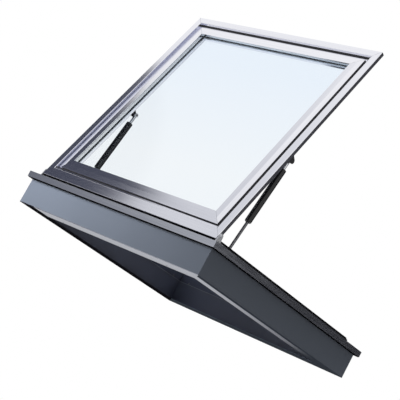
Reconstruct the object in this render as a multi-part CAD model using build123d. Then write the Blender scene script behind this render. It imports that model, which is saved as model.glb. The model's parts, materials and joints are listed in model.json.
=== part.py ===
# Glazed roof access hatch: insulated kerb, fixed frame, hinged glazed lid and two gas struts.
# Millimetres. Origin at the middle of the kerb's underside, +X along the hinge, +Y from the
# hinge side to the closing side, +Z up. The lid is drawn shut and then turned to its open stop.
import math
import os

from build123d import *

# Kerb
kerb_width = 1200.0
kerb_depth = 1200.0
kerb_height = 124.0
panel_sheet = 2.0
panel_return = 26.0
flange_width = 100.0
flange_sheet = 3.0
wall_build = 60.0
liner_sheet = 1.5
liner_return = 18.0
fixing_radius = 4.5
fixing_inset = 20.0
fixing_span_width = 700.0
fixing_span_depth = 400.0
board_clearance = 0.3

# Fixed frame
lip_overhang = 20.0
lip_height = 26.0
drip_height = 1.5
rim_set_in = 40.0
rim_height = 19.0
frame_wall = 2.5
leg_drop = 17.0
frame_edge_radius = 1.5
seal_width = 10.0
seal_height = 6.5
seal_set_in = 5.0
seal_radius = 3.0
seal_bore_radius = 1.6
seal_gap = 0.5
frame_cleat_width = 40.0
frame_cleat_arm = 90.0
cleat_clearance = 0.2

# Lid extrusion, measured inwards from the lid's edge and down from its outer face
lid_overhang = 16.0
lid_wall = 2.5
lid_edge_height = 20.0
band_width = 35.0
channel_depth = 22.0
web_start = 46.0
shelf_end = 74.0
ledge_end = 106.0
ledge_drop = 35.0
lid_drop = 47.0
lid_edge_radius = 2.0
lid_cleat_arm = 80.0
hinge_nose = 17.0
hinge_strip = 3.0
hinge_strip_set_back = 1.0
channel_strip = 2.0
channel_strip_clearance = 0.2

# Glazing bead
bead_start = 57.0
bead_side_drop = 8.0
bead_crease = 79.0
bead_crease_drop = 2.0
bead_lip = 2.5
bead_heel = 80.0
bead_heel_drop = 4.5
bead_wall = 2.0

# Glass unit
glass_edge = 82.0
pane_thickness = 6.0
cavity = 16.0
gasket_outer_height = 2.5
gasket_inner_height = 2.0
gasket_start = 90.0
gasket_tip_set_back = 1.0
spacer_set_in = 6.0
spacer_width = 7.0
spacer_wall = 1.0
block_length = 90.0
block_inset = 150.0
block_clearance = 0.3

# Hinge
open_angle = 71.4
pivot_inset = 9.0
pivot_drop = 11.0
pin_radius = 4.0
pin_clearance = 0.08
bush_radius = 5.5
bush_length = 26.0
bush_flange_radius = 8.0
bush_flange = 1.0
hinge_gap = 0.3
bracket_sheet = 6.0
bracket_head_radius = 10.0
bracket_front = 20.0
bracket_rear = 14.0
foot_width = 18.0
foot_sheet = 5.0
foot_screw_set_in = 7.0
pin_head_radius = 6.0
pin_head = 3.0
pin_head_round = 1.0

# Screws
screw_head_radius = 4.5
screw_head_height = 2.6
screw_head_bevel = 1.0
screw_shank_radius = 2.4
screw_shank = 14.0
screw_socket_radius = 1.8
screw_socket_depth = 1.4
screw_clearance = 0.1
leg_screw_shares = (-0.38, -0.15, 0.15, 0.38)

# Gas struts
strut_inset = 100.0
strut_low_from_hinge_side = 185.0
strut_low_height = 80.0
strut_high_from_edge = 520.0
strut_high_drop = 90.0
cylinder_radius = 15.5
cylinder_bore = 13.5
cylinder_length = 275.0
cylinder_cap = 4.0
cylinder_round = 2.0
gland_length = 15.0
gland_lip = 2.0
rod_radius = 6.5
rod_clearance = 0.08
piston_length = 12.0
piston_stop_gap = 3.0
socket_radius = 10.0
socket_length = 14.0
socket_bevel = 1.5
upper_neck_radius = 7.0
upper_socket_reach = 51.5
lower_neck_radius = 7.0
lower_socket_reach = 28.0
stud_radius = 5.0
stud_clearance = 0.08
stud_end_gap = 0.5
strut_plate = 4.0
strut_plate_gap = 6.0
plate_head_radius = 13.0
plate_foot_width = 56.0
lid_foot_sheet = 3.0
lid_foot_reach = 36.0
lid_foot_screw_reach = 25.0
lid_foot_screw_span = 34.0
kerb_plate_width = 70.0
kerb_plate_height = 36.0
kerb_plate_round = 8.0
kerb_plate_screw_span = 50.0

# Latch
latch_inset = 62.0
rose_radius = 15.0
rose_height = 6.0
rose_round = 1.5
rose_screw_span = 62.0
rose_tab_radius = 9.0
spindle_radius = 5.0
spindle_clearance = 0.08
latch_gap = 0.3
cam_drop = 12.5
cam_height = 5.0
cam_half_width = 7.0
cam_reach = 20.0
lever_height = 14.0
lever_reach = 115.0
lever_hub_radius = 11.0
lever_tip_radius = 7.0
lever_round = 2.5
keeper_sheet = 3.0
keeper_width = 80.0
keeper_top_drop = 9.0
keeper_reach = 15.0
keeper_foot_height = 30.0
keeper_screw_span = 56.0

overrun = 5.0

# Sizes that follow from those above
lip_top = kerb_height + lip_height
rim_top = lip_top + rim_height
frame_width = kerb_width + 2 * lip_overhang
frame_depth = kerb_depth + 2 * lip_overhang
frame_reach = lip_overhang + wall_build + frame_wall
rim_start = lip_overhang + rim_set_in
lid_width = frame_width - 2 * (rim_start - lid_overhang)
lid_depth = frame_depth - 2 * (rim_start - lid_overhang)
lid_face = rim_top + seal_height + seal_gap + lid_edge_height
pivot_y = -lid_depth / 2 + pivot_inset
pivot_z = lid_face - pivot_drop
glass_drop = bead_lip + gasket_outer_height
inner_pane_drop = glass_drop + pane_thickness + cavity
strut_x = kerb_width / 2 - strut_inset
strut_low = (strut_low_from_hinge_side - kerb_depth / 2, strut_low_height)
strut_high_shut = (strut_high_from_edge - lid_depth / 2, lid_face - strut_high_drop)
latch_y = lid_depth / 2 - latch_inset
latch_z = lid_face - lid_drop
liner_x = kerb_width / 2 - wall_build

SIDES = {"front": 0, "right": 90, "back": 180, "left": -90}
HANDS = {"left": -1, "right": 1}
nodes = {}


def turned(point, angle):
    """A (y, z) point turned about the hinge axis."""
    y = point[0] - pivot_y
    z = point[1] - pivot_z
    c = math.cos(math.radians(angle))
    s = math.sin(math.radians(angle))
    return (pivot_y + c * y - s * z, pivot_z + s * y + c * z)


def opened(shape):
    """A lid piece, drawn shut, turned to the open stop."""
    hinge = Pos(0, pivot_y, pivot_z)
    return hinge * Rot(open_angle, 0, 0) * hinge.inverse() * shape


def side_length(side, width, depth):
    return width if side in ("front", "back") else depth


def on_side(shape, side, width, depth, z):
    """Put a bar drawn along X, with +Y pointing inwards, on one side of a rectangle."""
    reach = depth / 2 if side in ("front", "back") else width / 2
    return Rot(0, 0, SIDES[side]) * Pos(0, -reach, z) * shape


def section(outline, chambers=(), rounds=(), radius=0):
    """A profile from (inwards, down) points, with hollow chambers and rounded corners."""
    face = Polygon(*[(u, -d) for u, d in outline], align=None)
    if rounds:
        corners = [v for v in face.vertices() for u, d in rounds if abs(v.X - u) + abs(v.Y + d) < radius]
        face = fillet(corners, radius)
    for chamber in chambers:
        face -= Polygon(*[(u, -d) for u, d in chamber], align=None)
    return face


def rectangle(u0, d0, u1, d1):
    return ((u0, d0), (u1, d0), (u1, d1), (u0, d1))


def mitred_bar(profile, length):
    """A profile run along X, cut at 45 degrees at both ends inside the edge and square outside it."""
    bar = extrude(Plane.YZ * profile, amount=length / 2, both=True)
    box = bar.bounding_box()
    reach = box.max.Y + overrun
    low = min(box.min.Y, 0) - overrun
    half = length / 2
    wedge = Polygon((-half, low), (half, low), (half, 0), (half - reach, reach),
                    (reach - half, reach), (-half, 0), align=None)
    cutter = extrude(Pos(0, 0, box.min.Z - overrun) * wedge, amount=box.size.Z + 2 * overrun)
    return bar & cutter


def ring(width, depth, profile, z):
    """A closed rectangular ring made of four mitred runs of one profile."""
    runs = [on_side(mitred_bar(profile, side_length(side, width, depth)), side, width, depth, z)
            for side in SIDES]
    whole = runs[0]
    for run in runs[1:]:
        whole += run
    return whole.clean()


def group(shapes):
    return Compound(children=[solid for shape in shapes for solid in shape.solids()])


def mirrored(shape, hand):
    """The right-hand piece as drawn, or its mirror image for the left."""
    return shape if hand == "right" else mirror(shape, about=Plane.YZ)


def hull(*shapes):
    """The outline that a band stretched round some shapes would take."""
    return make_hull([edge for shape in shapes for edge in shape.edges()])


def screw():
    head = Cylinder(screw_head_radius, screw_head_height, align=(Align.CENTER, Align.CENTER, Align.MIN))
    head = chamfer(head.edges().sort_by(Axis.Z)[-1], screw_head_bevel)
    socket = extrude(RegularPolygon(screw_socket_radius, 6), amount=screw_socket_depth)
    shank = Cylinder(screw_shank_radius, screw_shank, align=(Align.CENTER, Align.CENTER, Align.MAX))
    return head - Pos(0, 0, screw_head_height - screw_socket_depth) * socket + shank


def screw_hole():
    return Cylinder(screw_shank_radius + screw_clearance, screw_shank + screw_clearance,
                    align=(Align.CENTER, Align.CENTER, Align.MAX))


def drilled(shape, places):
    for place in places:
        shape -= place * screw_hole()
    return shape


# Places of the screws, each with its axis out of the surface it holds down
facing_in = Rot(-90, 0, 0)
leg_places = {side: [on_side(Pos(share * side_length(side, frame_width, frame_depth), frame_reach,
                                 -lip_height - leg_drop / 2) * facing_in,
                             side, frame_width, frame_depth, lip_top)
                     for share in leg_screw_shares]
              for side in SIDES}

foot_x = lid_width / 2 + bush_flange + hinge_gap + bracket_sheet + foot_width - foot_screw_set_in
foot_places = {hand: [Pos(sign * foot_x, y, lip_top + foot_sheet)
                      for y in (pivot_y - bracket_front + foot_screw_set_in,
                                pivot_y + bracket_rear - foot_screw_set_in)]
               for hand, sign in HANDS.items()}

kerb_plate_x = liner_x - strut_plate
kerb_plate_places = {hand: [Pos(sign * kerb_plate_x, strut_low[0] + step * kerb_plate_screw_span / 2,
                                strut_low[1]) * Rot(0, -sign * 90, 0)
                            for step in (-1, 1)]
                     for hand, sign in HANDS.items()}

keeper_y = kerb_depth / 2 - wall_build - frame_wall
keeper_top = latch_z - keeper_top_drop + keeper_sheet
keeper_z = keeper_top - keeper_foot_height + screw_head_radius + screw_head_bevel
keeper_places = [Pos(step * keeper_screw_span / 2, keeper_y - keeper_sheet, keeper_z) * Rot(90, 0, 0)
                 for step in (-1, 1)]

lid_foot_x = strut_x + socket_length / 2 + strut_plate_gap - lid_foot_screw_reach
lid_foot_places = {hand: [Pos(sign * lid_foot_x, strut_high_shut[0] + step * lid_foot_screw_span / 2,
                              latch_z - lid_foot_sheet) * Rot(180, 0, 0)
                          for step in (-1, 1)]
                   for hand, sign in HANDS.items()}
rose_places = [Pos(step * rose_screw_span / 2, latch_y, latch_z - rose_height) * Rot(180, 0, 0)
               for step in (-1, 1)]

# Base flange with its fixing holes
flange = Box(kerb_width, kerb_depth, flange_sheet, align=(Align.CENTER, Align.CENTER, Align.MIN))
flange -= Box(kerb_width - 2 * flange_width, kerb_depth - 2 * flange_width, 2 * flange_sheet + overrun)
fixing_x = kerb_width / 2 - flange_width + fixing_inset
fixing_y = kerb_depth / 2 - flange_width + fixing_inset
for sx in (-1, 1):
    for sy in (-1, 1):
        hole = Cylinder(fixing_radius, 2 * flange_sheet + overrun)
        flange -= Pos(sx * fixing_span_width / 2, sy * fixing_y, 0) * hole
        flange -= Pos(sx * fixing_x, sy * fixing_span_depth / 2, 0) * hole
nodes["base_flange"] = flange

# Kerb panels, liners and insulation boards
panel_rise = kerb_height - flange_sheet
panel_section = section((
    (0, 0), (panel_return, 0), (panel_return, panel_sheet), (panel_sheet, panel_sheet),
    (panel_sheet, panel_rise - panel_sheet), (panel_return, panel_rise - panel_sheet),
    (panel_return, panel_rise), (0, panel_rise)))
liner_section = section((
    (wall_build - liner_sheet, panel_sheet), (wall_build, panel_sheet), (wall_build, panel_rise),
    (wall_build - liner_return, panel_rise), (wall_build - liner_return, panel_rise - liner_sheet),
    (wall_build - liner_sheet, panel_rise - liner_sheet)))
board_section = section(rectangle(
    panel_sheet + board_clearance, panel_sheet + board_clearance,
    wall_build - liner_sheet - board_clearance, panel_rise - panel_sheet - board_clearance))
boards = []
for side in SIDES:
    length = side_length(side, kerb_width, kerb_depth)
    through = list(leg_places[side])
    if side in HANDS:
        through += kerb_plate_places[side]
    if side == "back":
        through += keeper_places
    panel = mitred_bar(panel_section, length)
    nodes["kerb_panel_" + side] = on_side(panel, side, kerb_width, kerb_depth, kerb_height)
    liner = on_side(mitred_bar(liner_section, length), side, kerb_width, kerb_depth, kerb_height)
    nodes["kerb_liner_" + side] = drilled(liner, through)
    board = on_side(mitred_bar(board_section, length), side, kerb_width, kerb_depth, kerb_height)
    boards.append(drilled(board, through))
nodes["kerb_insulation"] = group(boards)

# Fixed frame: overhanging lip with drip edge, raised hollow rim and inner leg
frame_section = section(
    ((0, 0), (rim_start, 0), (rim_start, -rim_height), (frame_reach, -rim_height),
     (frame_reach, lip_height + leg_drop), (frame_reach - frame_wall, lip_height + leg_drop),
     (frame_reach - frame_wall, lip_height), (frame_wall, lip_height),
     (frame_wall, lip_height + drip_height), (0, lip_height + drip_height)),
    (rectangle(frame_wall, frame_wall, frame_reach - frame_wall, lip_height - frame_wall),
     rectangle(rim_start + frame_wall, frame_wall - rim_height, frame_reach - frame_wall, 0)),
    ((0, 0), (rim_start, -rim_height), (frame_reach, -rim_height)), frame_edge_radius)
for side in SIDES:
    bar = mitred_bar(frame_section, side_length(side, frame_width, frame_depth))
    bar = on_side(bar, side, frame_width, frame_depth, lip_top)
    through = leg_places[side] + foot_places["left"] + foot_places["right"]
    if side == "back":
        through = leg_places[side] + keeper_places
    nodes["frame_rail_" + side] = drilled(bar, through)


def corner_cleat(width, depth, inset, cleat_width, arm, low, high):
    """An L-shaped cleat in the corner at +X, +Y of a hollow frame."""
    x = width / 2 - inset
    y = depth / 2 - inset
    plan = Polygon((x, y), (x - arm, y), (x - arm, y - cleat_width), (x - cleat_width, y - cleat_width),
                   (x - cleat_width, y - arm), (x, y - arm), align=None)
    return extrude(Pos(0, 0, low) * plan, amount=high - low)


def at_four_corners(shape):
    across = mirror(shape, about=Plane.YZ)
    return [shape, across, mirror(shape, about=Plane.XZ), mirror(across, about=Plane.XZ)]


frame_cleat = corner_cleat(
    frame_width, frame_depth, frame_wall + cleat_clearance, frame_cleat_width, frame_cleat_arm,
    lip_top - lip_height + frame_wall + cleat_clearance, lip_top - frame_wall - cleat_clearance)
all_foot_places = foot_places["left"] + foot_places["right"]
frame_cleats = [drilled(cleat, all_foot_places) for cleat in at_four_corners(frame_cleat)]
nodes["frame_corner_cleats"] = group(frame_cleats)

# Hollow weather seal on the rim
seal_start = rim_start + seal_set_in
seal_section = section(
    rectangle(seal_start, -seal_height, seal_start + seal_width, 0), (),
    ((seal_start, -seal_height), (seal_start + seal_width, -seal_height)), seal_radius)
seal_section -= Pos(seal_start + seal_width / 2, seal_height / 2) * Circle(seal_bore_radius)
nodes["rim_seal"] = ring(frame_width, frame_depth, seal_section, rim_top)

# Hinge brackets and pins
bracket_x = lid_width / 2 + bush_flange + hinge_gap
cheek = hull(Line((pivot_y - bracket_front, lip_top), (pivot_y + bracket_rear, lip_top)),
             Pos(pivot_y, pivot_z) * Circle(bracket_head_radius))
cheek -= Pos(pivot_y, pivot_z) * Circle(pin_radius)
bracket = Pos(bracket_x, 0, 0) * extrude(Plane.YZ * cheek, amount=bracket_sheet)
foot = Box(foot_width, bracket_front + bracket_rear, foot_sheet, align=Align.MIN)
bracket += Pos(bracket_x + bracket_sheet, pivot_y - bracket_front, lip_top) * foot
pin = Cylinder(pin_radius, bush_length + bush_flange + hinge_gap + bracket_sheet,
               align=(Align.CENTER, Align.CENTER, Align.MAX))
pin_cap = Cylinder(pin_head_radius, pin_head, align=(Align.CENTER, Align.CENTER, Align.MIN))
pin += fillet(pin_cap.edges().sort_by(Axis.Z)[-1], pin_head_round)
pin = Pos(bracket_x + bracket_sheet, pivot_y, pivot_z) * Rot(0, 90, 0) * pin
for hand in HANDS:
    nodes["hinge_bracket_" + hand] = drilled(mirrored(bracket, hand), foot_places[hand])
nodes["hinge_pins"] = group(mirrored(pin, hand) for hand in HANDS)

# Kerb brackets of the struts: a plate on the liner with a stud that stops short of the socket
plate = extrude(Plane.YZ * RectangleRounded(kerb_plate_width, kerb_plate_height, kerb_plate_round),
                amount=strut_plate)
stud_tip = strut_x + socket_length / 2 + stud_end_gap
stud = Pos(stud_tip, 0, 0) * extrude(Plane.YZ * Circle(stud_radius), amount=kerb_plate_x - stud_tip)
kerb_bracket = Pos(0, strut_low[0], strut_low[1]) * (Pos(kerb_plate_x, 0, 0) * plate + stud)
for hand in HANDS:
    nodes["strut_kerb_bracket_" + hand] = drilled(mirrored(kerb_bracket, hand), kerb_plate_places[hand])

# Keeper that the latch cam turns under
keeper_profile = Polygon(
    (keeper_y, keeper_top), (keeper_y - keeper_reach, keeper_top),
    (keeper_y - keeper_reach, keeper_top - keeper_sheet),
    (keeper_y - keeper_sheet, keeper_top - keeper_sheet),
    (keeper_y - keeper_sheet, keeper_top - keeper_foot_height),
    (keeper_y, keeper_top - keeper_foot_height), align=None)
keeper = extrude(Plane.YZ * keeper_profile, amount=keeper_width / 2, both=True)
nodes["latch_keeper"] = drilled(keeper, keeper_places)

kerb_places = [place for side in SIDES for place in leg_places[side]] + all_foot_places + keeper_places
kerb_places += kerb_plate_places["left"] + kerb_plate_places["right"]
nodes["kerb_screws"] = group(place * screw() for place in kerb_places)

# Lid extrusions; the one at the hinge has a nose that stands out past the lid's edge
channel_wall = band_width - lid_wall
channel_foot = channel_depth + lid_wall


def lid_section(edge):
    """The lid's profile, with its outer edge at the given place."""
    return section(
        ((edge, 0), (band_width, 0), (band_width, channel_depth), (shelf_end, channel_depth),
         (shelf_end, ledge_drop), (ledge_end, ledge_drop), (ledge_end, lid_drop), (web_start, lid_drop),
         (web_start, channel_foot), (channel_wall, channel_foot), (channel_wall, lid_edge_height),
         (edge, lid_edge_height)),
        (rectangle(lid_wall, lid_wall, channel_wall, lid_edge_height - lid_wall),
         rectangle(web_start + lid_wall, channel_foot, shelf_end - lid_wall, lid_drop - lid_wall),
         rectangle(shelf_end, ledge_drop + lid_wall, ledge_end - lid_wall, lid_drop - lid_wall)),
        ((edge, 0), (band_width, 0), (edge, lid_edge_height), (ledge_end, lid_drop), (web_start, lid_drop)),
        lid_edge_radius)


lid_edges = {side: 0 for side in SIDES}
lid_edges["front"] = hinge_strip - hinge_nose
bead_section = section(
    ((bead_start, channel_depth), (bead_start, bead_side_drop), (bead_crease, bead_crease_drop),
     (ledge_end, 0), (ledge_end, bead_lip), (gasket_start, bead_lip), (bead_heel, bead_heel_drop),
     (shelf_end, bead_side_drop), (shelf_end, channel_depth)),
    (rectangle(bead_start + bead_wall, bead_side_drop + bead_wall,
               shelf_end - bead_wall, channel_depth - bead_wall),))
lid_names = {"front": ("lid_rail_hinge", "glazing_bead_hinge"),
             "back": ("lid_rail_closing", "glazing_bead_closing"),
             "left": ("lid_stile_left", "glazing_bead_left"),
             "right": ("lid_stile_right", "glazing_bead_right")}
pivot_line = Pos(0, pivot_y, pivot_z) * Rot(0, 90, 0)
bush_bore = pivot_line * Cylinder(bush_radius + pin_clearance, lid_width + overrun)
latch_bore = Pos(0, latch_y, latch_z) * Cylinder(spindle_radius + spindle_clearance, 2 * lid_wall + overrun)
for side, (rail_name, bead_name) in lid_names.items():
    length = side_length(side, lid_width, lid_depth)
    rail = mitred_bar(lid_section(lid_edges[side]), length)
    rail = on_side(rail, side, lid_width, lid_depth, lid_face)
    if side in HANDS:
        rail = drilled(rail - bush_bore, lid_foot_places[side])
    if side == "back":
        rail = drilled(rail - latch_bore, rose_places)
    nodes[rail_name] = opened(rail)
    bead = on_side(mitred_bar(bead_section, length), side, lid_width, lid_depth, lid_face)
    nodes[bead_name] = opened(bead)

strip = Box(lid_width, hinge_strip, lid_edge_height - hinge_strip_set_back,
            align=(Align.CENTER, Align.MIN, Align.MAX))
strip = Pos(0, -hinge_nose, -hinge_strip_set_back) * strip
nodes["hinge_gasket"] = opened(on_side(strip, "front", lid_width, lid_depth, lid_face))

# Cleats in the lid's corners; the two at the hinge hold the pivot bushes
lid_cleat_inset = lid_wall + cleat_clearance
lid_cleat_width = band_width - 2 * lid_cleat_inset
lid_cleat = corner_cleat(
    lid_width, lid_depth, lid_cleat_inset, lid_cleat_width, lid_cleat_arm,
    lid_face - lid_edge_height + lid_wall + cleat_clearance, lid_face - lid_wall - cleat_clearance)
nodes["lid_corner_cleats"] = group(opened(cleat - bush_bore) for cleat in at_four_corners(lid_cleat))

bush = Cylinder(bush_radius, bush_length, align=(Align.CENTER, Align.CENTER, Align.MAX))
bush += Cylinder(bush_flange_radius, bush_flange, align=(Align.CENTER, Align.CENTER, Align.MIN))
bush -= Cylinder(pin_radius + pin_clearance, 2 * bush_length + overrun)
bush = Pos(lid_width / 2, pivot_y, pivot_z) * Rot(0, 90, 0) * bush
nodes["pivot_bushes"] = group(opened(mirrored(bush, hand)) for hand in HANDS)

# Glass unit with its spacer, edge sealant and setting blocks, and the lid's gaskets
pane_width = lid_width - 2 * glass_edge
pane_depth = lid_depth - 2 * glass_edge
pane = Box(pane_width, pane_depth, pane_thickness, align=(Align.CENTER, Align.CENTER, Align.MAX))
nodes["outer_pane"] = opened(Pos(0, 0, lid_face - glass_drop) * pane)
nodes["inner_pane"] = opened(Pos(0, 0, lid_face - inner_pane_drop) * pane)


def lid_ring(u0, d0, u1, d1, chambers=()):
    return opened(ring(lid_width, lid_depth, section(rectangle(u0, d0, u1, d1), chambers), lid_face))


nodes["channel_gasket"] = lid_ring(band_width + channel_strip_clearance, channel_depth - channel_strip,
                                   bead_start - channel_strip_clearance, channel_depth)
gasket_end = ledge_end - gasket_tip_set_back
nodes["outer_gasket"] = lid_ring(gasket_start, bead_lip, gasket_end, glass_drop)
nodes["inner_gasket"] = lid_ring(gasket_start, ledge_drop - gasket_inner_height, gasket_end, ledge_drop)
spacer_start = glass_edge + spacer_set_in
spacer_top = glass_drop + pane_thickness
nodes["pane_spacer"] = lid_ring(
    spacer_start, spacer_top, spacer_start + spacer_width, inner_pane_drop,
    (rectangle(spacer_start + spacer_wall, spacer_top + spacer_wall,
               spacer_start + spacer_width - spacer_wall, inner_pane_drop - spacer_wall),))
nodes["edge_sealant"] = lid_ring(glass_edge, spacer_top, spacer_start, inner_pane_drop)

block_section = section(rectangle(shelf_end + block_clearance, bead_side_drop + block_clearance,
                                  glass_edge - block_clearance, ledge_drop))
blocks = []
for side in SIDES:
    offset = side_length(side, lid_width, lid_depth) / 2 - block_inset - block_length / 2
    for step in (-1, 1):
        block = extrude(Plane.YZ * block_section, amount=block_length / 2, both=True)
        block = Pos(step * offset, 0, 0) * block
        blocks.append(opened(on_side(block, side, lid_width, lid_depth, lid_face)))
nodes["setting_blocks"] = group(blocks)

# Lid brackets of the struts: a hanging cheek with a stud through the strut's upper socket
cheek_x = strut_x + socket_length / 2 + strut_plate_gap
hang_y, hang_z = strut_high_shut
hang = hull(Line((hang_y - plate_foot_width / 2, latch_z), (hang_y + plate_foot_width / 2, latch_z)),
            Pos(hang_y, hang_z) * Circle(plate_head_radius))
lid_bracket = Pos(cheek_x, 0, 0) * extrude(Plane.YZ * hang, amount=strut_plate)
lid_foot = Box(lid_foot_reach, plate_foot_width, lid_foot_sheet, align=(Align.MAX, Align.CENTER, Align.MAX))
lid_bracket += Pos(cheek_x + strut_plate, hang_y, latch_z) * lid_foot
lid_stud = Rot(0, 90, 0) * Cylinder(stud_radius, socket_length + strut_plate_gap + strut_plate,
                                    align=(Align.CENTER, Align.CENTER, Align.MIN))
lid_bracket += Pos(strut_x - socket_length / 2, hang_y, hang_z) * lid_stud
for hand in HANDS:
    nodes["strut_lid_bracket_" + hand] = opened(drilled(mirrored(lid_bracket, hand), lid_foot_places[hand]))

# Latch: rose on the closing rail, lever with its spindle, and the cam
rose = Cylinder(rose_radius, rose_height) + Box(rose_screw_span, 2 * rose_tab_radius, rose_height)
for step in (-1, 1):
    rose += Pos(step * rose_screw_span / 2, 0, 0) * Cylinder(rose_tab_radius, rose_height)
rose = fillet(rose.faces().sort_by(Axis.Z)[0].outer_wire().edges(), rose_round)
rose -= Cylinder(spindle_radius + spindle_clearance, rose_height + overrun)
rose = Pos(0, latch_y, latch_z - rose_height / 2) * rose
nodes["handle_rose"] = opened(drilled(rose, rose_places))

cam_plan = hull(Circle(cam_half_width), Pos(cam_half_width - cam_reach, 0) * Circle(cam_half_width))
cam = extrude(cam_plan - Circle(spindle_radius), amount=cam_height)
nodes["latch_cam"] = opened(Pos(0, latch_y, latch_z - cam_drop - cam_height) * cam)

lever_top = latch_z - cam_drop - cam_height - latch_gap
lever_tip = Pos(lever_reach - lever_tip_radius, 0) * Circle(lever_tip_radius)
lever_plan = hull(Circle(lever_hub_radius), lever_tip)
lever = extrude(lever_plan, amount=lever_height)
lever = fillet(lever.faces().sort_by(Axis.Z)[0].outer_wire().edges(), lever_round)
spindle = Cylinder(spindle_radius, lever_height + latch_z - lever_top,
                   align=(Align.CENTER, Align.CENTER, Align.MIN))
nodes["handle_lever"] = opened(Pos(0, latch_y, lever_top - lever_height) * (lever + spindle))

lid_places = lid_foot_places["left"] + lid_foot_places["right"] + rose_places
nodes["lid_screws"] = group(opened(place * screw()) for place in lid_places)

# Gas struts, drawn along +Z from the lower pivot and laid on the line of the open lid
strut_high = turned(strut_high_shut, open_angle)
strut_open = math.dist(strut_low, strut_high)
strut_shut = math.dist(strut_low, strut_high_shut)
strut_tilt = math.degrees(math.atan2(strut_high[0] - strut_low[0], strut_high[1] - strut_low[1]))
cylinder_top = strut_open - upper_socket_reach
cylinder_foot = cylinder_top - cylinder_length
piston_start = cylinder_foot + gland_length + piston_stop_gap


def tube(radius, low, high, bore=0):
    made = Pos(0, 0, low) * Cylinder(radius, high - low, align=(Align.CENTER, Align.CENTER, Align.MIN))
    if bore:
        made -= Pos(0, 0, low) * Cylinder(bore, high - low, align=(Align.CENTER, Align.CENTER, Align.MIN))
    return made


def barrel():
    shape = Rot(0, 90, 0) * Cylinder(socket_radius, socket_length)
    return chamfer(shape.edges().filter_by(GeomType.CIRCLE), socket_bevel)


cylinder = fillet(tube(cylinder_radius, cylinder_foot, cylinder_top).edges().filter_by(GeomType.CIRCLE),
                  cylinder_round)
cylinder -= tube(cylinder_bore, cylinder_foot - overrun, cylinder_top - cylinder_cap)
gland = tube(cylinder_bore, cylinder_foot - gland_lip, cylinder_foot + gland_length,
             rod_radius + rod_clearance)
upper_socket = tube(upper_neck_radius, cylinder_top, strut_open) + Pos(0, 0, strut_open) * barrel()
stud_bore = Cylinder(stud_radius + stud_clearance, socket_length + overrun)
upper_socket -= Pos(0, 0, strut_open) * Rot(0, 90, 0) * stud_bore
rod = tube(rod_radius, lower_socket_reach, piston_start)
piston = tube(cylinder_bore - rod_clearance, piston_start, piston_start + piston_length)
lower_socket = tube(lower_neck_radius, 0, lower_socket_reach) + barrel()
strut_pieces = {"strut_cylinder_": cylinder, "strut_gland_": gland, "strut_upper_socket_": upper_socket,
                "strut_rod_": rod, "strut_piston_": piston, "strut_lower_socket_": lower_socket}
for hand, sign in HANDS.items():
    laid = Pos(sign * strut_x, strut_low[0], strut_low[1]) * Rot(-strut_tilt, 0, 0)
    for name, piece in strut_pieces.items():
        nodes[name + hand] = laid * piece

print("hinge axis y %.3f z %.3f" % (pivot_y, pivot_z))
print("strut low y %.3f z %.3f, high y %.3f z %.3f" % (*strut_low, *strut_high))
print("strut open %.3f shut %.3f, tilt %.4f" % (strut_open, strut_shut, strut_tilt))

os.makedirs("parts", exist_ok=True)
for name, shape in nodes.items():
    export_step(shape, os.path.join("parts", name + ".step"))
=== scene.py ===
import json
import math

import bmesh
import bpy
from mathutils import Matrix, Vector


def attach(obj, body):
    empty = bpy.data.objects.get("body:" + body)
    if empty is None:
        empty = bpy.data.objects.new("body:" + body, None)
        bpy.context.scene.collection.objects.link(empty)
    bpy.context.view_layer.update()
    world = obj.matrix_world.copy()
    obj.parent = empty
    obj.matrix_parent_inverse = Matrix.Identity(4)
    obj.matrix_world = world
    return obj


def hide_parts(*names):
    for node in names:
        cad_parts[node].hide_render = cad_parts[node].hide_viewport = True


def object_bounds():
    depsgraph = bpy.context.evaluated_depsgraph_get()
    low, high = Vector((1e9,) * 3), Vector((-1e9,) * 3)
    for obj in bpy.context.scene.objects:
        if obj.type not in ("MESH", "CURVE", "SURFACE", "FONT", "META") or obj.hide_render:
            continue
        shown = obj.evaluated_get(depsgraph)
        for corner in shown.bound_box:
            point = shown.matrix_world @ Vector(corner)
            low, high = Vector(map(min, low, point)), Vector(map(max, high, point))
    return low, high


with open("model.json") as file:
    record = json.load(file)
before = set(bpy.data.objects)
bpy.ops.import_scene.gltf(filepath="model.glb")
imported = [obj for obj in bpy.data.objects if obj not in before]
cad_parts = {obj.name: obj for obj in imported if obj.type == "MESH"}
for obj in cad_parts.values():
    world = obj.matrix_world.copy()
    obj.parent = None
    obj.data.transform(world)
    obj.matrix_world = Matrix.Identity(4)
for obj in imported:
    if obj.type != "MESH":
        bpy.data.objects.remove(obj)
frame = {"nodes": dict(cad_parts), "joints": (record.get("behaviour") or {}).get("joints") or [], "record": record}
cad_low, cad_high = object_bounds()
nodes = frame["nodes"]
joints = {joint["name"]: joint for joint in frame["joints"]}

# Camera, in metres and degrees: it stands off the hinge side, a little below the kerb, and leans
camera_place = (3.5974, -3.8619, -0.4995)
camera_azimuth = 44.3
camera_elevation = -9.8
camera_roll = 28.7
camera_lens = 102.96
camera_clip = (0.1, 100.0)

# Studio: lamp places in metres, lamp powers in watts
key_place = (-0.8, -1.7, 0.5)
key_size = 0.7
key_power = 23.0
top_place = (0.6, 1.2, 3.6)
top_size = 2.4
top_power = 60.0
sky_level = 0.145
floor_radius = 9.0
floor_drop = 0.002
floor_clear_radii = (2.2, 6.0)
floor_colour = (0.86, 0.86, 0.87, 1)
floor_glow = 0.5
floor_rough = 0.9
floor_segments = 96

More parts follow.
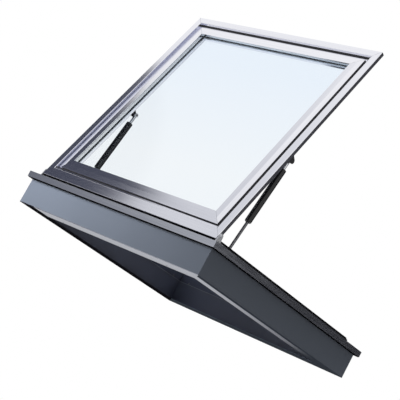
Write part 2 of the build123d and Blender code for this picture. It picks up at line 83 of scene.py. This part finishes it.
# Dark screens that the metal mirrors: azimuth and elevation, radii of the edge in degrees, and colour
screens = (
    ((-130.0, 25.0), (12.0, 27.0), (0.72, 0.73, 0.76, 1)),
    ((-150.0, 5.0), (11.5, 15.0), (0.42, 0.43, 0.48, 1)),
    ((-155.2, 29.4), (5.3, 6.4), (0.068, 0.072, 0.102, 1)),
    ((-157.0, 16.0), (14.5, 17.0), (0.07, 0.075, 0.105, 1)),
    ((-149.0, 17.0), (10.5, 12.5), (0.07, 0.075, 0.105, 1)),
    ((-175.0, 12.0), (14.6, 16.2), (0.07, 0.075, 0.1, 1)),
    ((85.0, 12.0), (40.0, 42.0), (0.05, 0.05, 0.056, 1)),
    ((112.0, -5.0), (12.0, 21.0), (0.08, 0.08, 0.1, 1)),
)

# Strip of black rubber under the frame's lip, which also stands in for the shadow under the lip as painted shade,
# in metres
lip_strip_inner = 0.6001
lip_strip_outer = 0.6173
lip_strip_low = 0.1204
lip_strip_high = 0.1239
lip_strip_bevel = 0.0006
lip_strip_bevel_steps = 2

# Where the frame, the lid's mitres, the flange and the glass change colour: start and end of each
# change, in metres. The frame's paler leg edge is a painted highlight, and the flange's changes are painted shade
frame_inside = (0.544, 0.546)
rim_black = (0.1645, 0.1635)
mitre_seam = (0.0003, 0.0006)
flange_shade = (0.488, 0.492)
flange_mitre = (0.0, 0.004)
flange_rim = (0.566, 0.57)
flange_fade = (0.18, 0.38)
leg_edge = (0.1115, 0.1105)
glass_heights = (0.45, 1.05)

# Glass panes, in metres: what is taken off each face so that they clear the gaskets, and their ground edges
pane_clearance = 0.00015
pane_arris = 0.0008
weld_distance = 0.00001
flat_angle = math.radians(1.0)

# Black in the lid's channel, seals and painted shade of the groove, on the X and Y that the lid has when it is
# shut, with the fade at their edges, the start of the painted grey shade on the left side, and the part of the
# strip with painted shade, all in metres
seal_and_shade_right = 0.519
seal_and_shade_closing = 0.5325
seal_and_shade_hinge = (-0.5242, -0.5185)
left_shade_edge = -0.519
seal_and_shade_fade = 0.0003
shade_across = (0.2, -0.05)
shade_along = (-0.515, -0.518)

# The lid's tilt at rest, which the grain of its bars follows, and the place of its hinge in metres
lid_tilt = math.radians(-joints["lid_hinge"]["range_deg"][0])
hinge_y, hinge_z = -0.567, 0.185

# Colours
slate_dark = (0.182, 0.211, 0.266)
slate_light = (0.197, 0.228, 0.287)
liner_dark = (0.046, 0.052, 0.08)
liner_light = (0.054, 0.061, 0.092)
# The leg colour below is a painted highlight for the bottom edge of the frame's inner leg
leg_edge_highlight = (0.15, 0.16, 0.19)
lip_dark = (0.42, 0.435, 0.48)
lip_light = (0.48, 0.495, 0.54)
lid_dark = (0.795, 0.8, 0.855)
lid_light = (0.865, 0.87, 0.915)
# The two greys below are painted shade on the left side of the lid's channel
left_shade_dark = (0.48, 0.5, 0.62)
left_shade_light = (0.53, 0.55, 0.68)
shade_grey = (0.12, 0.125, 0.17)
seal_black = (0.012, 0.012, 0.014)
flange_dark = (0.44, 0.45, 0.48)
flange_light = (0.54, 0.55, 0.58)
# The dark flange colour below is painted shade on the flange's far sides
flange_shade_black = (0.03, 0.03, 0.038)
flange_sheen = (0.55, 0.56, 0.6, 1)
glass_low = (0.94, 0.962, 0.979)
glass_high = (0.9, 0.94, 0.983)
rubber_black = ((0.006, 0.006, 0.008), (0.012, 0.012, 0.014))

# Surfaces: lengths of patches and grains along a bar and across it, relief of the grain, all in metres,
# and ranges of roughness
noise_band = (0.3, 0.7)
lip_patch, lip_grain = (0.5, 0.006), (0.1, 0.003)
lid_patch, lid_grain = (0.6, 0.005), (0.12, 0.0015)
drawn_relief = 0.000001
lip_rough = (0.15, 0.21)
lid_rough = (0.07, 0.11)
strip_patch, strip_grain = 0.03, 0.002
strip_rough = (0.1, 0.16)
seal_rougher = 0.5
flange_patch, flange_grain = 0.02, 0.0015
flange_relief = 0.000005
flange_rough = (0.16, 0.26)
glass_wave = 0.18
glass_wave_relief = 0.00002
glass_index = 1.06
glass_coat = 0.12
glass_coat_rough = 0.02


def direction(azimuth, elevation):
    """The unit vector towards a compass angle from +X and a height above the horizon, in degrees."""
    flat = math.cos(math.radians(elevation))
    return Vector((flat * math.cos(math.radians(azimuth)), flat * math.sin(math.radians(azimuth)),
                   math.sin(math.radians(elevation))))


def new_material(name):
    """A node material, its node tree and its main shader."""
    material = bpy.data.materials.new(name)
    material.use_nodes = True
    tree = material.node_tree
    return material, tree, tree.nodes["Principled BSDF"]


def grain(tree, size, turn=0.0, detail=4.0):
    """Noise with grains of the given lengths in metres along X, Y and Z, turned about X."""
    place = tree.nodes.new("ShaderNodeTexCoord")
    mapping = tree.nodes.new("ShaderNodeMapping")
    mapping.vector_type = "TEXTURE"
    mapping.inputs["Rotation"].default_value = (turn, 0, 0)
    mapping.inputs["Scale"].default_value = size
    noise = tree.nodes.new("ShaderNodeTexNoise")
    noise.inputs["Scale"].default_value = 1.0
    noise.inputs["Detail"].default_value = detail
    tree.links.new(place.outputs["Object"], mapping.inputs["Vector"])
    tree.links.new(mapping.outputs["Vector"], noise.inputs["Vector"])
    return noise.outputs["Fac"]


def calculated(tree, operation, *values):
    """The result of a sum on numbers, each of them a socket or a plain value."""
    node = tree.nodes.new("ShaderNodeMath")
    node.operation = operation
    for socket, value in zip(node.inputs, values):
        if isinstance(value, (int, float)):
            socket.default_value = value
        else:
            tree.links.new(value, socket)
    return node.outputs["Value"]


def mixed(tree, factor, first, second):
    """A colour between two, each of them a socket or a plain colour."""
    node = tree.nodes.new("ShaderNodeMix")
    node.data_type = "RGBA"
    tree.links.new(factor, node.inputs[0])
    for socket, value in zip([socket for socket in node.inputs if socket.type == "RGBA"], (first, second)):
        if isinstance(value, tuple):
            socket.default_value = value
        else:
            tree.links.new(value, socket)
    return [socket for socket in node.outputs if socket.type == "RGBA"][0]


def frame_place(tree):
    """The place at rest in the part's frame, as its X, Y and Z in metres."""
    place = tree.nodes.new("ShaderNodeTexCoord")
    split = tree.nodes.new("ShaderNodeSeparateXYZ")
    tree.links.new(place.outputs["Object"], split.inputs["Vector"])
    return [split.outputs[axis] for axis in "XYZ"]


def step(tree, value, edges, results=(0.0, 1.0)):
    """The first result before the first edge, the second one past the second edge, and a ramp between."""
    limits = tree.nodes.new("ShaderNodeMapRange")
    limits.inputs["From Min"].default_value, limits.inputs["From Max"].default_value = edges
    limits.inputs["To Min"].default_value, limits.inputs["To Max"].default_value = results
    tree.links.new(value, limits.inputs["Value"])
    return limits.outputs["Result"]


def blended(tree, factor, first, second, band=noise_band):
    """A colour that goes from first to second as the factor goes through a band."""
    ramp = tree.nodes.new("ShaderNodeValToRGB")
    for element, position, colour in zip(ramp.color_ramp.elements, band, (first, second)):
        element.position = position
        element.color = (*colour, 1)
    tree.links.new(factor, ramp.inputs["Fac"])
    return ramp.outputs["Color"]


def ranged(tree, noise, results):
    """A number that goes through a range with a noise."""
    return step(tree, noise, noise_band, results)


def raised(tree, height, relief):
    """A surface normal roughened by a noise, relief metres high."""
    bump = tree.nodes.new("ShaderNodeBump")
    bump.inputs["Distance"].default_value = relief
    tree.links.new(height, bump.inputs["Height"])
    return bump.outputs["Normal"]


def finish(name, colours, rough, patch, fine, relief, sockets):
    """A surface whose colour drifts in patches, with a fine grain in its gloss and in relief."""
    material, tree, shader = new_material(name)
    drift = grain(tree, patch)
    texture = grain(tree, fine)
    tree.links.new(blended(tree, drift, *colours), shader.inputs["Base Color"])
    tree.links.new(ranged(tree, texture, rough), shader.inputs["Roughness"])
    tree.links.new(raised(tree, texture, relief), shader.inputs["Normal"])
    for socket, value in sockets.items():
        shader.inputs[socket].default_value = value
    return material


def even(size):
    """Grains as long as they are wide."""
    return (size, size, size)


def along_x(length, width):
    """Grains drawn out along X."""
    return (length, width, width)


def along_y(length, width):
    """Grains drawn out along Y."""
    return (width, length, width)


def glazing(name):
    """Clear low-reflection glass with a very faint wave, a trace bluer towards the lid's closing side."""
    material, tree, shader = new_material(name)
    wave = grain(tree, even(glass_wave), detail=1.0)
    height = step(tree, frame_place(tree)[2], glass_heights)
    tint = blended(tree, height, glass_low, glass_high, (0.0, 1.0))
    tree.links.new(tint, shader.inputs["Base Color"])
    tree.links.new(raised(tree, wave, glass_wave_relief), shader.inputs["Normal"])
    shader.inputs["Roughness"].default_value = 0.0
    shader.inputs["Transmission Weight"].default_value = 1.0
    shader.inputs["IOR"].default_value = glass_index
    shader.inputs["Coat Weight"].default_value = glass_coat
    shader.inputs["Coat Roughness"].default_value = glass_coat_rough
    return material


def frame_lip(name, patch, fine):
    """Satin metal outside, black at the rim's top, the liners' coat inside, and a painted highlight, paler, along
    the inside's bottom edge.
    """
    material, tree, shader = new_material(name)
    x, y, z = frame_place(tree)
    reach = calculated(tree, "MAXIMUM", calculated(tree, "ABSOLUTE", x), calculated(tree, "ABSOLUTE", y))
    outside = step(tree, reach, frame_inside)
    below = step(tree, z, rim_black)
    texture = grain(tree, fine, detail=1.0)
    metal = mixed(tree, below, (*seal_black, 1), blended(tree, grain(tree, patch), lip_dark, lip_light))
    # Paler colour at the bottom edge of the inside: a painted highlight
    inside = mixed(tree, step(tree, z, leg_edge), (*liner_light, 1), (*leg_edge_highlight, 1))
    tree.links.new(mixed(tree, outside, inside, metal), shader.inputs["Base Color"])
    tree.links.new(calculated(tree, "MULTIPLY", outside, below), shader.inputs["Metallic"])
    tree.links.new(ranged(tree, texture, lip_rough), shader.inputs["Roughness"])
    tree.links.new(raised(tree, texture, drawn_relief), shader.inputs["Normal"])
    return material


def lid_place(tree):
    """The place on the lid, as the X and Y that it has when the lid is shut."""
    x, y, z = frame_place(tree)
    up = calculated(tree, "ADD", calculated(tree, "MULTIPLY", y, math.cos(lid_tilt)),
                    calculated(tree, "MULTIPLY", z, math.sin(lid_tilt)))
    shift = hinge_y - hinge_y * math.cos(lid_tilt) - hinge_z * math.sin(lid_tilt)
    return x, calculated(tree, "ADD", up, shift)


def lid_metal(name, patch, fine):
    """Bright drawn metal with a hairline seam where the bars meet at the corners."""
    material, tree, shader = new_material(name)
    x, shut_y = lid_place(tree)
    offset = calculated(tree, "SUBTRACT", calculated(tree, "ABSOLUTE", x),
                        calculated(tree, "ABSOLUTE", shut_y))
    plain = step(tree, calculated(tree, "ABSOLUTE", offset), mitre_seam)
    texture = grain(tree, fine, lid_tilt)
    metal = blended(tree, grain(tree, patch, lid_tilt), lid_dark, lid_light)
    tree.links.new(mixed(tree, plain, (*seal_black, 1), metal), shader.inputs["Base Color"])
    tree.links.new(ranged(tree, texture, lid_rough), shader.inputs["Roughness"])
    tree.links.new(raised(tree, texture, drawn_relief), shader.inputs["Normal"])
    shader.inputs["Metallic"].default_value = 1.0
    return material


def channel_strip(name):
    """The strip in the lid's channel: metal, black along three sides for seals and painted shade, a darker grey as
    painted shade on the left side, and painted shade on the hinge end's left half.
    """
    material, tree, shader = new_material(name)
    x, shut_y = lid_place(tree)
    # Black on the right, closing and hinge sides: seal colour together with painted shade of the groove
    right = step(tree, x, (seal_and_shade_right, seal_and_shade_right + seal_and_shade_fade))
    closing = step(tree, shut_y, (seal_and_shade_closing, seal_and_shade_closing + seal_and_shade_fade))
    above = step(tree, shut_y, (seal_and_shade_hinge[0], seal_and_shade_hinge[0] + seal_and_shade_fade))
    below = step(tree, shut_y, (seal_and_shade_hinge[1] + seal_and_shade_fade, seal_and_shade_hinge[1]))
    hinge = calculated(tree, "MULTIPLY", above, below)
    black = calculated(tree, "MAXIMUM", calculated(tree, "MAXIMUM", right, closing), hinge)
    # Darker grey on the left side: painted shade
    left = step(tree, x, (left_shade_edge + seal_and_shade_fade, left_shade_edge))
    drift = grain(tree, even(strip_patch))
    metal = mixed(tree, left, blended(tree, drift, lid_dark, lid_light),
                  blended(tree, drift, left_shade_dark, left_shade_light))
    # Grey on the left half of the hinge end: painted shade
    shaded = calculated(tree, "MULTIPLY", step(tree, x, shade_across), step(tree, shut_y, shade_along))
    metal = mixed(tree, shaded, metal, (*shade_grey, 1))
    tree.links.new(mixed(tree, black, metal, (*seal_black, 1)), shader.inputs["Base Color"])
    tree.links.new(calculated(tree, "SUBTRACT", 1.0, black), shader.inputs["Metallic"])
    rough = ranged(tree, grain(tree, even(strip_grain)), strip_rough)
    tree.links.new(calculated(tree, "MULTIPLY_ADD", black, seal_rougher, rough), shader.inputs["Roughness"])
    return material


def flange_metal(name):
    """Mill-finish sheet with painted shade: slate at the right side's edge and closing end, and dark along the far
    sides.
    """
    material, tree, shader = new_material(name)
    x, y = frame_place(tree)[:2]
    # Masks for painted shade: the far sides, and the right side's outer edge and closing end
    far = calculated(tree, "MAXIMUM", calculated(tree, "MULTIPLY", x, -1.0), y)
    right = step(tree, calculated(tree, "ADD", x, y), flange_mitre)
    edge = calculated(tree, "MAXIMUM", step(tree, x, flange_rim), step(tree, y, flange_fade))
    shaded = calculated(tree, "MAXIMUM", step(tree, far, flange_shade),
                        calculated(tree, "MULTIPLY", right, edge))
    texture = grain(tree, even(flange_grain))
    metal = blended(tree, grain(tree, even(flange_patch)), flange_dark, flange_light)
    # Colour of the painted shade: dark on the far sides, slate on the right side
    shade = mixed(tree, right, (*flange_shade_black, 1), (*slate_light, 1))
    tree.links.new(mixed(tree, shaded, metal, shade), shader.inputs["Base Color"])
    tree.links.new(calculated(tree, "SUBTRACT", 1.0, shaded), shader.inputs["Metallic"])
    tree.links.new(ranged(tree, texture, flange_rough), shader.inputs["Roughness"])
    tree.links.new(raised(tree, texture, flange_relief), shader.inputs["Normal"])
    shader.inputs["Specular IOR Level"].default_value = 0.0
    shader.inputs["Specular Tint"].default_value = flange_sheen
    return material


# Plain finishes: two colours, range of roughness, sizes of patches and of grains, relief in metres, and
# other values of the shader
bare_metal = {"Metallic": 1.0}
plain_finishes = {
    "kerb_coat": ((slate_dark, slate_light), (0.42, 0.52), even(0.3), even(0.0011), 0.00001, {}),
    "liner_coat": ((liner_dark, liner_light), (0.42, 0.55), even(0.25), even(0.0011), 0.00001, {}),
    "cast_aluminium": (((0.5, 0.5, 0.51), (0.62, 0.62, 0.64)), (0.5, 0.65), even(0.01), even(0.0012),
                       0.0001, bare_metal),
    "mineral_wool": (((0.42, 0.36, 0.2), (0.62, 0.55, 0.36)), (0.9, 1.0), even(0.02),
                     (0.012, 0.012, 0.0015), 0.0008, {}),
    "black_rubber": (rubber_black, (0.6, 0.8), even(0.05), even(0.0015), 0.00001,
                     {"Specular IOR Level": 0.0}),
    "foil_tape": (((0.84, 0.85, 0.87), (0.9, 0.91, 0.93)), (0.3, 0.4), even(0.05), even(0.004),
                  0.00001, bare_metal),
    "black_steel": (((0.018, 0.018, 0.02), (0.03, 0.03, 0.033)), (0.32, 0.45), even(0.03), even(0.0008),
                    0.00003, {}),
    "strut_black": (rubber_black, (0.16, 0.24), even(0.04), (0.006, 0.006, 0.06), 0.000001,
                    {"Specular IOR Level": 0.3, "Coat Weight": 0.2, "Coat Roughness": 0.06}),
    "black_plastic": (((0.015, 0.015, 0.016), (0.028, 0.028, 0.03)), (0.42, 0.55), even(0.03),
                      even(0.0007), 0.00004, {}),
    "zinc_steel": (((0.52, 0.53, 0.56), (0.68, 0.69, 0.71)), (0.24, 0.38), even(0.006), even(0.0012),
                   0.00002, bare_metal),
    "rod_steel": (((0.1, 0.1, 0.108), (0.14, 0.14, 0.15)), (0.16, 0.24), even(0.05), (0.02, 0.02, 0.0008),
                  0.000001, bare_metal),
    "spacer_grey": (((0.8, 0.81, 0.82), (0.87, 0.88, 0.89)), (0.2, 0.28), even(0.05), even(0.004),
                    0.00001, bare_metal),
    "handle_metal": (((0.05, 0.05, 0.055), (0.075, 0.075, 0.08)), (0.35, 0.48), even(0.04), even(0.0009),
                     0.00003, {}),
}
finishes = {name: finish(name, *values) for name, values in plain_finishes.items()}
finishes["bush_plastic"] = finishes["black_plastic"]
finishes["lip_x"] = frame_lip("lip_x", along_x(*lip_patch), along_x(*lip_grain))
finishes["lip_y"] = frame_lip("lip_y", along_y(*lip_patch), along_y(*lip_grain))
finishes["lid_x"] = lid_metal("lid_x", along_x(*lid_patch), along_x(*lid_grain))
finishes["lid_y"] = lid_metal("lid_y", along_y(*lid_patch), along_y(*lid_grain))
finishes["mill_aluminium"] = flange_metal("mill_aluminium")
finishes["channel_strip"] = channel_strip("channel_strip")
finishes["clear_glass"] = glazing("clear_glass")

# Starts of the names of nodes that don't take the finish of their material slot
own_finish = {
    "kerb_panel_": "kerb_coat", "kerb_liner_": "liner_coat",
    "frame_rail_front": "lip_x", "frame_rail_back": "lip_x",
    "frame_rail_left": "lip_y", "frame_rail_right": "lip_y",
    "lid_rail_": "lid_x", "lid_stile_": "lid_y",
    "glazing_bead_hinge": "lid_x", "glazing_bead_closing": "lid_x",
    "glazing_bead_left": "lid_y", "glazing_bead_right": "lid_y",
    "inner_gasket": "foil_tape", "edge_sealant": "foil_tape", "channel_gasket": "channel_strip",
    "hinge_bracket_": "zinc_steel", "kerb_screws": "handle_metal",
}


def paint_nodes():
    """Give each CAD node its own finish, or that of its material slot."""
    for part in frame["record"]["subparts"]:
        name = part["node"]
        chosen = [look for start, look in own_finish.items() if name.startswith(start)]
        look = chosen[0] if chosen else part["material_slot"]
        mesh = nodes[name].data
        mesh.materials.clear()
        mesh.materials.append(finishes[look])


def place_camera():
    """The camera at the photograph's angle, leaning as the photograph does."""
    azimuth, elevation = math.radians(camera_azimuth), math.radians(camera_elevation)
    back = Vector((math.sin(azimuth) * math.cos(elevation), -math.cos(azimuth) * math.cos(elevation),
                   math.sin(elevation)))
    right = Vector((math.cos(azimuth), math.sin(azimuth), 0))
    turn = Matrix((right, back.cross(right), back)).transposed().to_4x4()
    data = bpy.data.cameras.new("camera")
    data.lens = camera_lens
    data.clip_start, data.clip_end = camera_clip
    camera = bpy.data.objects.new("camera", data)
    roll = Matrix.Rotation(math.radians(camera_roll), 4, "Z")
    camera.matrix_world = Matrix.Translation(camera_place) @ turn @ roll
    bpy.context.scene.collection.objects.link(camera)
    bpy.context.scene.camera = camera


def add_lamp(name, place, size, power):
    """A square soft lamp aimed at the middle of the object, unseen in reflections and through the glass."""
    data = bpy.data.lights.new(name, "AREA")
    data.size = size
    data.energy = power
    lamp = bpy.data.objects.new(name, data)
    middle = (cad_low + cad_high) / 2
    lamp.location = place
    lamp.rotation_mode = "QUATERNION"
    lamp.rotation_quaternion = (middle - Vector(place)).to_track_quat("-Z", "Y")
    lamp.visible_glossy = False
    lamp.visible_transmission = False
    bpy.context.scene.collection.objects.link(lamp)
    return lamp


def flag(tree, centre, radii):
    """1 inside a round dark screen far off in one direction, falling to 0 between its two radii."""
    place = tree.nodes.new("ShaderNodeTexCoord")
    facing = tree.nodes.new("ShaderNodeVectorMath")
    facing.operation = "DOT_PRODUCT"
    facing.inputs[1].default_value = direction(*centre)
    edge = tree.nodes.new("ShaderNodeMapRange")
    edge.interpolation_type = "SMOOTHSTEP"
    edge.inputs["From Min"].default_value = math.cos(math.radians(radii[1]))
    edge.inputs["From Max"].default_value = math.cos(math.radians(radii[0]))
    tree.links.new(place.outputs["Generated"], facing.inputs[0])
    tree.links.new(facing.outputs["Value"], edge.inputs["Value"])
    return edge.outputs["Result"]


def light_world():
    """A white studio to look at, with dark screens in reflections, and a plain level of sky light."""
    world = bpy.data.worlds.new("studio")
    bpy.context.scene.world = world
    world.use_nodes = True
    tree = world.node_tree
    sky = tree.nodes["Background"]
    sky.inputs["Color"].default_value = (1, 1, 1, 1)
    sky.inputs["Strength"].default_value = sky_level
    path = tree.nodes.new("ShaderNodeLightPath")
    glossy = path.outputs["Is Glossy Ray"]
    colour = (1.0, 1.0, 1.0, 1.0)
    for centre, radii, dark in screens:
        colour = mixed(tree, calculated(tree, "MULTIPLY", flag(tree, centre, radii), glossy), colour, dark)
    shown = tree.nodes.new("ShaderNodeBackground")
    shown.inputs["Strength"].default_value = 1.0
    seen = calculated(tree, "MAXIMUM", path.outputs["Is Camera Ray"], glossy)
    seen = calculated(tree, "MAXIMUM", seen, path.outputs["Is Transmission Ray"])
    both = tree.nodes.new("ShaderNodeMixShader")
    tree.links.new(colour, shown.inputs["Color"])
    tree.links.new(seen, both.inputs["Fac"])
    tree.links.new(sky.outputs["Background"], both.inputs[1])
    tree.links.new(shown.outputs["Background"], both.inputs[2])
    tree.links.new(both.outputs["Shader"], tree.nodes["World Output"].inputs["Surface"])


def floor_material():
    """Pale matt floor that glows a little, fades to white far out and is clear from below."""
    material, tree, shader = new_material("floor")
    shader.inputs["Base Color"].default_value = floor_colour
    shader.inputs["Roughness"].default_value = floor_rough
    shader.inputs["Emission Color"].default_value = floor_colour
    shader.inputs["Emission Strength"].default_value = floor_glow
    place = tree.nodes.new("ShaderNodeTexCoord")
    far = tree.nodes.new("ShaderNodeVectorMath")
    far.operation = "LENGTH"
    fade = tree.nodes.new("ShaderNodeMapRange")
    fade.interpolation_type = "SMOOTHSTEP"
    fade.inputs["From Min"].default_value = floor_clear_radii[0]
    fade.inputs["From Max"].default_value = floor_clear_radii[1]
    white = tree.nodes.new("ShaderNodeEmission")
    outward = tree.nodes.new("ShaderNodeMixShader")
    side = tree.nodes.new("ShaderNodeNewGeometry")
    clear = tree.nodes.new("ShaderNodeBsdfTransparent")
    whole = tree.nodes.new("ShaderNodeMixShader")
    tree.links.new(place.outputs["Object"], far.inputs[0])
    tree.links.new(far.outputs["Value"], fade.inputs["Value"])
    tree.links.new(fade.outputs["Result"], outward.inputs["Fac"])
    tree.links.new(shader.outputs["BSDF"], outward.inputs[1])
    tree.links.new(white.outputs["Emission"], outward.inputs[2])
    tree.links.new(side.outputs["Backfacing"], whole.inputs["Fac"])
    tree.links.new(outward.outputs["Shader"], whole.inputs[1])
    tree.links.new(clear.outputs["BSDF"], whole.inputs[2])
    tree.links.new(whole.outputs["Shader"], tree.nodes["Material Output"].inputs["Surface"])
    return material


def lay_floor():
    """A round floor just under the part, left out of reflections and of the light on the part."""
    mesh = bpy.data.meshes.new("floor")
    made = bmesh.new()
    bmesh.ops.create_circle(made, cap_ends=True, segments=floor_segments, radius=floor_radius)
    made.to_mesh(mesh)
    made.free()
    floor = bpy.data.objects.new("floor", mesh)
    floor.location = (0, 0, cad_low.z - floor_drop)
    mesh.materials.append(floor_material())
    floor.visible_diffuse = False
    floor.visible_glossy = False
    floor.visible_transmission = False
    floor.visible_shadow = False
    bpy.context.scene.collection.objects.link(floor)
    return floor


def keep_off(lamp, thing):
    """Keep a lamp's light off one object."""
    lit = bpy.data.collections.new(lamp.name + "_lit")
    lit.objects.link(thing)
    lit.collection_objects[0].light_linking.link_state = "EXCLUDE"
    lamp.light_linking.receiver_collection = lit


def square_ring(made, reach, height):
    """Four points round the part, at a reach from its middle."""
    corners = ((-1, -1), (1, -1), (1, 1), (-1, 1))
    return [made.verts.new((x * reach, y * reach, height)) for x, y in corners]


def add_lip_shadow_strip():
    """The rubber strip that closes the gap between the frame's lip and the kerb's panels; its black also stands in
    for the shadow under the lip, as painted shade.
    """
    made = bmesh.new()
    section = ((lip_strip_outer, lip_strip_high), (lip_strip_inner, lip_strip_high),
               (lip_strip_inner, lip_strip_low), (lip_strip_outer, lip_strip_low))
    rings = [square_ring(made, reach, height) for reach, height in section]
    for ring, after in zip(rings, rings[1:] + rings[:1]):
        for side in range(4):
            made.faces.new((ring[side], ring[side - 1], after[side - 1], after[side]))
    bmesh.ops.recalc_face_normals(made, faces=made.faces)
    bmesh.ops.bevel(made, geom=made.edges[:], offset=lip_strip_bevel, segments=lip_strip_bevel_steps,
                    affect="EDGES", profile=0.5)
    mesh = bpy.data.meshes.new("lip_strip")
    made.to_mesh(mesh)
    made.free()
    # Black rubber, which here is also painted shade for the shadow under the lip
    mesh.materials.append(finishes["black_rubber"])
    strip = bpy.data.objects.new("lip_strip", mesh)
    bpy.context.scene.collection.objects.link(strip)
    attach(strip, "kerb")


def add_pane(node):
    """A pane with ground edges, a hair smaller than its solid, so that it only rests on its gaskets."""
    made = bmesh.new()
    made.from_mesh(nodes[node].data)
    bmesh.ops.remove_doubles(made, verts=made.verts, dist=weld_distance)
    bmesh.ops.dissolve_limit(made, angle_limit=flat_angle, verts=made.verts, edges=made.edges)
    middle = sum((vertex.co for vertex in made.verts), Vector()) / len(made.verts)
    axes = [Matrix.Rotation(lid_tilt, 3, "X") @ Vector(axis) for axis in ((1, 0, 0), (0, 1, 0), (0, 0, 1))]
    for vertex in made.verts:
        out = vertex.co - middle
        for axis in axes:
            vertex.co -= axis * math.copysign(pane_clearance, out.dot(axis))
    bmesh.ops.bevel(made, geom=made.edges[:], offset=pane_arris, segments=1, affect="EDGES")
    mesh = bpy.data.meshes.new(node + "_glass")
    made.to_mesh(mesh)
    made.free()
    mesh.materials.append(finishes["clear_glass"])
    pane = bpy.data.objects.new(node + "_glass", mesh)
    bpy.context.scene.collection.objects.link(pane)
    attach(pane, "lid")
    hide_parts(node)


paint_nodes()
add_lip_shadow_strip()
for pane_node in ("outer_pane", "inner_pane"):
    add_pane(pane_node)
place_camera()
key = add_lamp("key", key_place, key_size, key_power)
add_lamp("top", top_place, top_size, top_power)
light_world()
keep_off(key, lay_floor())
bpy.context.scene.view_settings.view_transform = "Standard"
